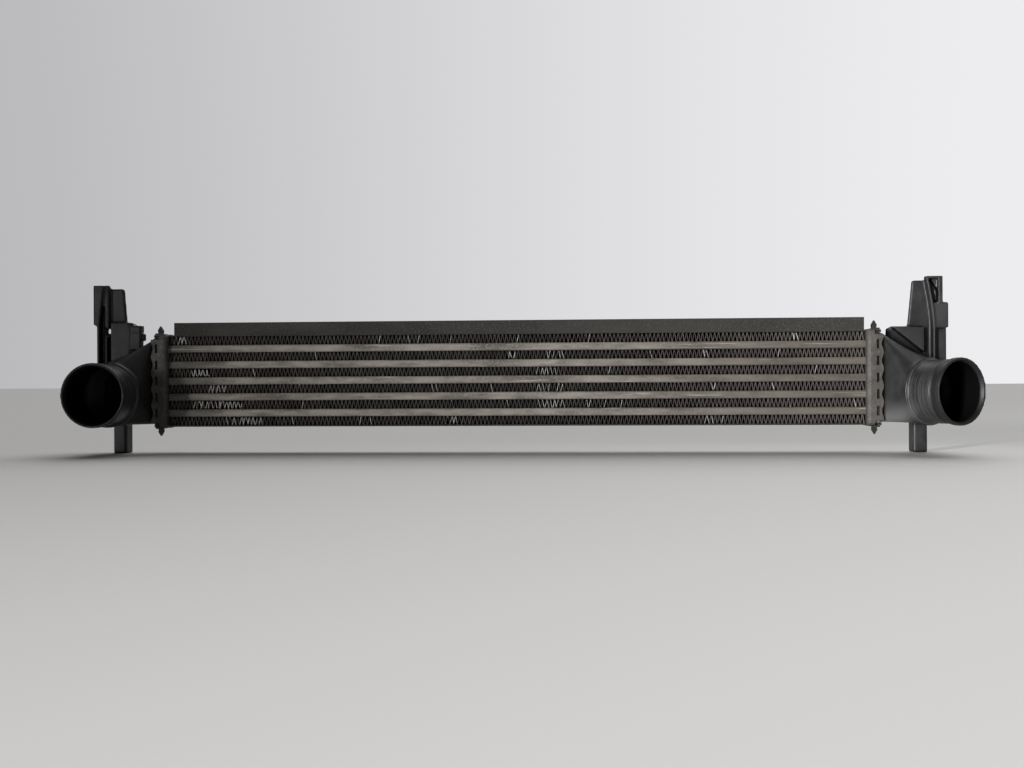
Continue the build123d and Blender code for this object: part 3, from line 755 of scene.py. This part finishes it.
def fold_points(x0, x1, z0, z1, rng):
    """Centre line of a folded strip, as a list of (x, z), three points to a tip."""
    tips = 2 * round((x1 - x0) / FOLD)
    step = (x1 - x0) / tips
    slope = (z1 - z0) / 2 / (step / 2 - TIP_HALF / 2)
    points = []
    for k in range(tips + 1):
        x = x0 + k * step + (rng.gauss(0, TIP_JITTER) if 0 < k < tips else 0)
        z, inward = (z1, -1) if k % 2 else (z0, 1)
        drop = inward * slope * TIP_HALF / 2
        points += [(x - TIP_HALF, z + drop), (x, z), (x + TIP_HALF, z + drop)]
    return points[1:-1]


def offset_line(points, side):
    """The line moved to one side by half the strip's thickness."""
    p = np.array(points)
    along = np.gradient(p, axis=0)
    normal = np.stack([-along[:, 1], along[:, 0]], axis=1)
    normal /= np.linalg.norm(normal, axis=1)[:, None]
    return p + normal * side * STRIP_T / 2


print("folds in a row:", round((CORE_X1 - CORE_X0) / FOLD))

# %% [markdown]
# ## Dense fins: bent folds
#
# Stones bend some folds to one side, push them in and crush them. The worst places are
# listed, and a few stray folds are bent elsewhere. Random numbers with a set seed
# make no two folds alike and give the same fins each run.

# %% Dense fins: bent folds
# row from the top, from and to in mm from the core's middle, strength
DENTS = [
    (3, -288, -268, 1.0), (4, -272, -256, 0.5), (5, -287, -243, 1.0), (6, -257, -223, 0.45),
    (6, -58, -48, 0.6), (2, -4, 2, 1.0), (2, 22, 47, 0.3), (3, 22, 47, 0.35), (4, 22, 47, 0.4),
    (5, 22, 47, 0.4), (1, 245, 249, 0.8), (4, 172, 177, 0.8), (5, -8, -2, 0.6), (2, 64, 72, 0.3),
    (4, -75, -68, 0.4), (5, 65, 70, 0.4), (2, 168, 176, 0.4), (6, 168, 178, 0.35), (1, -302, -291, 0.5),
]
LEAST_DENT = 0.35  # share of its strength that every fold in a dented place has
STRAY_CHANCE, STRAY_DENT = 0.015, 0.25
SIDEWAYS = 1.3 * MM  # the most that a fold is bent to one side
SIDEWAYS_ALL = 0.07 * MM  # and how far any fold is off
PUSHED_IN = 1.6 * MM


def dent_at(row, x):
    """How badly the fold at x of a row is bent, from 0 to 1."""
    place = (x - CORE_MID) / MM
    return max([d[3] for d in DENTS if d[0] == row and d[1] <= place <= d[2]], default=0.0)


def bend_folds(line, row, rng):
    """For each point of the line: how far it is bent sideways and pushed in, and how badly."""
    count = len(line)
    bend, push, dents = np.zeros(count), np.zeros(count), np.zeros(count)
    for i in range(0, count, POINTS_A_TIP):
        tip = slice(i, i + POINTS_A_TIP)
        stray = STRAY_DENT if rng.random() < STRAY_CHANCE else 0.0
        amount = max(dent_at(row, line[i][0]) * (LEAST_DENT + (1 - LEAST_DENT) * rng.random()), stray)
        bend[tip] = rng.uniform(-SIDEWAYS, SIDEWAYS) * amount + rng.gauss(0, SIDEWAYS_ALL)
        push[tip] = rng.random() * PUSHED_IN * amount
        dents[tip] = amount
    return bend, push, dents


print("dented places:", len(DENTS))

# %% [markdown]
# ## Dense fins: the ribbon
#
# The line is offset to both sides for the strip's thickness, and carried through the depth of
# the core in slices. Straight folds would let the eye through from front to back. Real fins
# are louvred, which blocks it, and here the ribbon sways to and fro between its slices, by
# more than half a fold. The front and the back stay straight, so the sway isn't seen.

# %% Dense fins: the ribbon
SWAY = 1.9 * MM
# depth from the front edge, as a share of the row's depth, and the sway there
SLICES = [(0.0, 0), (0.05, 0), (0.12, 0), (0.28, 1), (0.5, -1), (0.72, 1), (0.88, 0), (0.95, 0), (1.0, 0)]
DENT_DEPTH = 0.1  # share of the row's depth that a dent reaches
CRUSHED = 0.25  # share of its height that a fully bent fold loses
BARE_FROM, BARE_CHANCE = 0.22, 0.8


def ribbon_verts(lo, hi, sides, bend, push, dents):
    mid = (lo.z + hi.z) / 2
    verts = []
    for share, sway in SLICES:
        weight = max(0.0, 1 - share / DENT_DEPTH)
        for side in sides:
            x = side[:, 0] + bend * weight + SWAY * sway
            y = np.full(len(side), lo.y + share * (hi.y - lo.y)) + push * weight
            z = mid + (side[:, 1] - mid) * (1 - CRUSHED * dents * weight)
            verts += list(zip(np.clip(x, lo.x, hi.x), y, z))
    return verts


def ribbon_faces(dents, rng):
    """Faces of the ribbon, and for each face 1 where its metal is bared."""
    count = len(dents)
    ring = 2 * count
    steps = len(SLICES) - 1
    faces, finish = [], []
    for i in range(count - 1):
        bare = 1 if dents[i] > BARE_FROM and rng.random() < BARE_CHANCE else 0
        for j in range(steps):
            a, b = j * ring + i, (j + 1) * ring + i
            faces += [(a, a + 1, b + 1, b), (a + count, b + count, b + count + 1, a + count + 1)]
            finish += [bare if j == 0 else 0] * 2
        last = steps * ring + i
        faces += [(i, i + count, i + count + 1, i + 1), (last, last + 1, last + count + 1, last + count)]
        finish += [bare, 0]
    return faces, finish


def dense_row(name, row, seed):
    rng = random.Random(seed)
    lo, hi = low(name), high(name)
    margin = STRIP_T / 2
    line = fold_points(lo.x + margin, hi.x - margin, lo.z + margin, hi.z - margin, rng)
    bend, push, dents = bend_folds(line, row, rng)
    verts = ribbon_verts(lo, hi, [offset_line(line, 1), offset_line(line, -1)], bend, push, dents)
    faces, finish = ribbon_faces(dents, rng)
    obj = new_object(name + "_dense", verts, faces, FIN_METAL)
    obj.data.materials.append(BARE_METAL)
    obj.data.polygons.foreach_set("material_index", finish)
    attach(obj, "root")
    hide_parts(name)
    return len(faces)


FIN_SEED = 40
total = sum(dense_row(name, len(FIN_ROWS) - i, FIN_SEED + i) for i, name in enumerate(FIN_ROWS))
print("dense fins:", total, "faces")

# %% [markdown]
# ## Tubes with rounded noses: the section
#
# A tube of this kind is a flat tube with rounded noses. A bevel on the CAD solid would give
# four flat steps, so the section is drawn as a loop with a real arc at each corner. A used
# tube isn't dead straight either. A sum of a few slow waves gives its front a smooth wander of
# some tenths of a millimetre, which breaks up the long highlights.

# %% Tubes with rounded noses: the section
TUBE_WALL = 0.5 * MM
NOSE_SHARE = 0.22  # radius of a corner, as a share of the section's thickness
NOSE_POINTS = 7
WAVES = 9
FRONT_WANDER, LIFT_WANDER = 0.35 * MM, 0.10 * MM


def tube_loop(half_y, half_z, radius):
    """Section of a flat tube, as offsets from its middle."""
    loop = []
    for cy, cz, start in ((1, 1, 0), (-1, 1, 90), (-1, -1, 180), (1, -1, 270)):
        for k in range(NOSE_POINTS):
            a = math.radians(start + 90 * k / (NOSE_POINTS - 1))
            y = cy * (half_y - radius) + radius * math.cos(a)
            z = cz * (half_z - radius) + radius * math.sin(a)
            loop.append((y, z))
    return loop


def wander(rng):
    """A smooth seeded line of small errors along the core, from -1 to 1."""
    terms = [(rng.uniform(4, 90), rng.uniform(0, 2 * math.pi)) for _ in range(WAVES)]
    return lambda x: sum(math.sin(f * (x - CORE_X0) + p) for f, p in terms) / WAVES


print("points in a tube's section:", 4 * NOSE_POINTS)

# %% [markdown]
# ## Tubes with rounded noses: the sweep
#
# The section is carried along the tube through many stations. The wander fades out before the
# trays, so the tube still fits its slots. The tube keeps its wall, and its ends stay open
# inside the tanks, because they can be seen through the spigots.

# %% Tubes with rounded noses: the sweep
STATIONS = 180
FADE_FROM, FADE_LENGTH = 4 * MM, 10 * MM  # from the core's ends
SET_BACK = 0.3  # the front stands back by this share of its wander, to stay inside the solid


def tube_verts(lo, hi, loops, front, lift):
    mid = (lo + hi) / 2
    verts = []
    for loop in loops:
        for s in range(STATIONS):
            x = lo.x + (hi.x - lo.x) * s / (STATIONS - 1)
            from_end = min(x, 2 * CORE_MID - x) - CORE_X0
            ease = min(1.0, max(0.0, (from_end - FADE_FROM) / FADE_LENGTH))
            dy = FRONT_WANDER * ease * (front(x) + SET_BACK)
            dz = LIFT_WANDER * ease * lift(x)
            verts += [(x, mid.y + y + (dy if y < 0 else 0), mid.z + z + dz) for y, z in loop]
    return verts


def tube_faces(n):
    """The outer skin, the inner skin and the two end rims, for a loop of n points."""
    shell = STATIONS * n
    faces = []
    for base, flip in ((0, False), (shell, True)):
        for s in range(STATIONS - 1):
            for k in range(n):
                a, b = base + s * n + k, base + s * n + (k + 1) % n
                face = (a, b, b + n, a + n)
                faces.append(face[::-1] if flip else face)
    for s, flip in ((0, True), (STATIONS - 1, False)):
        for k in range(n):
            a, b = s * n + k, s * n + (k + 1) % n
            face = (a, b, b + shell, a + shell)
            faces.append(face[::-1] if flip else face)
    return faces


def round_tube(name, seed):
    rng = random.Random(seed)
    lo, hi = low(name), high(name)
    half = (hi - lo) / 2
    wall_y, wall_z = half.y - TUBE_WALL, half.z - TUBE_WALL
    outer = tube_loop(half.y, half.z, NOSE_SHARE * 2 * half.z)
    inner = tube_loop(wall_y, wall_z, NOSE_SHARE * 2 * wall_z)
    front, lift = wander(rng), wander(rng)
    faces = tube_faces(len(outer))
    verts = tube_verts(lo, hi, (outer, inner), front, lift)
    obj = new_object(name + "_round", verts, faces, TUBE_METAL, smooth=True)
    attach(obj, "root")
    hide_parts(name)
    return len(faces)


TUBE_SEED = 70
total = sum(round_tube(name, TUBE_SEED + i) for i, name in enumerate(TUBES))
print("round tubes:", total, "faces")

# %% [markdown]
# ## Soft edges on the moulded tanks
#
# A moulding has no knife edges: every corner and every join of two walls has a small radius.
# Rebuilding the solid from voxels and relaxing it gives all of them at once, inside and
# outside, which bevels can't do where curved and flat walls meet.

# %% Soft edges on the moulded tanks
VOXEL = 0.85 * MM
RELAX_STEPS = 3
WELD = 0.01 * MM


def softened(name):
    obj = bpy.data.objects.new(name + "_soft", nodes[name].data.copy())
    bpy.context.collection.objects.link(obj)
    weld = obj.modifiers.new("weld", "WELD")
    weld.merge_threshold = WELD
    remesh = obj.modifiers.new("voxels", "REMESH")
    remesh.mode = "VOXEL"
    remesh.voxel_size = VOXEL
    remesh.use_smooth_shade = True
    smooth = obj.modifiers.new("relax", "SMOOTH")
    smooth.factor = 0.5
    smooth.iterations = RELAX_STEPS
    graph = bpy.context.evaluated_depsgraph_get()
    baked = bpy.data.meshes.new_from_object(obj.evaluated_get(graph))
    obj.modifiers.clear()
    obj.data = baked
    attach(obj, "root")
    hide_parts(name)
    print(name, "softened:", sum(len(p.vertices) - 2 for p in baked.polygons), "triangles")


for name in ("left_tank", "right_tank"):
    softened(name)

# %% [markdown]
# ## Folded edges on the sheet metal
#
# The trays and the side plates stay as they are. A narrow bevel rounds their cut and folded
# edges, so that each edge catches its own line of light.

# %% Folded edges on the sheet metal
EDGE_WIDTHS = {
    "left_header": 0.35 * MM, "right_header": 0.35 * MM,
    "top_side_plate": 0.4 * MM, "bottom_side_plate": 0.4 * MM,
}

for name, width in EDGE_WIDTHS.items():
    bevel = nodes[name].modifiers.new("folded edges", "BEVEL")
    bevel.width = width
    bevel.segments = 2
    bevel.limit_method = "ANGLE"
    bevel.angle_limit = math.radians(50)
print("bevelled:", list(EDGE_WIDTHS))

# %% [markdown]
# ## Floor and backdrop
#
# The floor is plain and pale, and keeps the part's shadow. A wall behind the part would hide
# it from other sides, so what the camera sees beyond the floor is a plain pale grey in the
# world, a little paler to the right. Only the camera sees it: the part is lit by the world's
# dim even light and by the lamps.

# %% Floor and backdrop
FLOOR_COLOUR = linear(222, 221, 219)
FLOOR_HALF = 30.0
FLOOR_DROP = 0.2 * MM  # a hair below the feet
BACKDROP_LEFT = linear(176, 175, 178)
BACKDROP_RIGHT = linear(238, 238, 240)
BACKDROP_TURN = (-0.75, 0.45)  # the view's leftward and rightward lean at the two colours
WORLD_LIGHT = 0.05


def make_floor():
    h = FLOOR_HALF
    floor = new_object("floor", [(-h, -h, 0), (h, -h, 0), (h, h, 0), (-h, h, 0)], [(0, 1, 2, 3)], None)
    material = bpy.data.materials.new("Pale floor")
    material.use_nodes = True
    shader = material.node_tree.nodes["Principled BSDF"]
    shader.inputs["Base Color"].default_value = (*FLOOR_COLOUR, 1)
    shader.inputs["Roughness"].default_value = 0.6
    shader.inputs["Specular IOR Level"].default_value = 0.2
    floor.data.materials.append(material)
    floor.location.z = -FLOOR_DROP


def make_world():
    world = bpy.data.worlds.new("studio")
    bpy.context.scene.world = world
    world.use_nodes = True
    tree = world.node_tree
    tree.nodes.clear()
    path = tree.nodes.new("ShaderNodeLightPath")
    direction = tree.nodes.new("ShaderNodeTexCoord")
    split = tree.nodes.new("ShaderNodeSeparateXYZ")
    tree.links.new(direction.outputs["Generated"], split.inputs[0])
    across = ramp_node(tree, split.outputs[0], *BACKDROP_TURN)
    light = add_node(tree, "ShaderNodeBackground", Color=(1, 1, 1, 1), Strength=WORLD_LIGHT)
    seen = add_node(tree, "ShaderNodeBackground", Strength=1.0)
    tree.links.new(mix_colour(tree, across, BACKDROP_LEFT, BACKDROP_RIGHT), seen.inputs["Color"])
    mix = tree.nodes.new("ShaderNodeMixShader")
    out = tree.nodes.new("ShaderNodeOutputWorld")
    tree.links.new(path.outputs["Is Camera Ray"], mix.inputs[0])
    tree.links.new(light.outputs[0], mix.inputs[1])
    tree.links.new(seen.outputs[0], mix.inputs[2])
    tree.links.new(mix.outputs[0], out.inputs["Surface"])


make_floor()
make_world()
print("floor", 2 * FLOOR_HALF, "m wide, world light", WORLD_LIGHT)

# %% [markdown]
# ## Lamps
#
# A large soft lamp stands low in front, to the left, like a window. Its spread is narrow and
# its beam is aimed past the part's right end, so the left end lies in the beam's dim edge and
# the light grows to the right. It rakes the fins, puts the near tray in the shade of its own
# spigot, and models the right tank. A broad light from above and behind fills the floor.

# %% Lamps
KEY_AT = (CORE_MID - 3.9, -6.0, 0.7)
KEY_AIM = (CORE_MID + 3.4, 0, 0.06)
KEY_SIZE = (1.3, 1.3)
KEY_WATTS = 210
KEY_SPREAD = math.radians(34)
SKY_FROM = (0.3, 0.8, 1.3)
SKY_STRENGTH = 1.8
SKY_ANGLE = math.radians(70)


def softbox(name, at, aim, size, watts, spread):
    data = bpy.data.lights.new(name, "AREA")
    data.shape = "RECTANGLE"
    data.size, data.size_y = size
    data.energy = watts
    data.spread = spread
    lamp = bpy.data.objects.new(name, data)
    bpy.context.collection.objects.link(lamp)
    lamp.location = at
    lamp.rotation_euler = (Vector(aim) - Vector(at)).to_track_quat("-Z", "Y").to_euler()
    print("lamp:", name, watts, "W")


def skylight(direction, strength, angle):
    """A broad even light from far away, which comes from the given direction."""
    data = bpy.data.lights.new("sky", "SUN")
    data.energy = strength
    data.angle = angle
    lamp = bpy.data.objects.new("sky", data)
    bpy.context.collection.objects.link(lamp)
    lamp.rotation_euler = Vector(direction).to_track_quat("Z", "Y").to_euler()
    print("lamp: sky, strength", strength)


softbox("key", KEY_AT, KEY_AIM, KEY_SIZE, KEY_WATTS, KEY_SPREAD)
skylight(SKY_FROM, SKY_STRENGTH, SKY_ANGLE)

bpy.context.scene.view_settings.view_transform = "Standard"
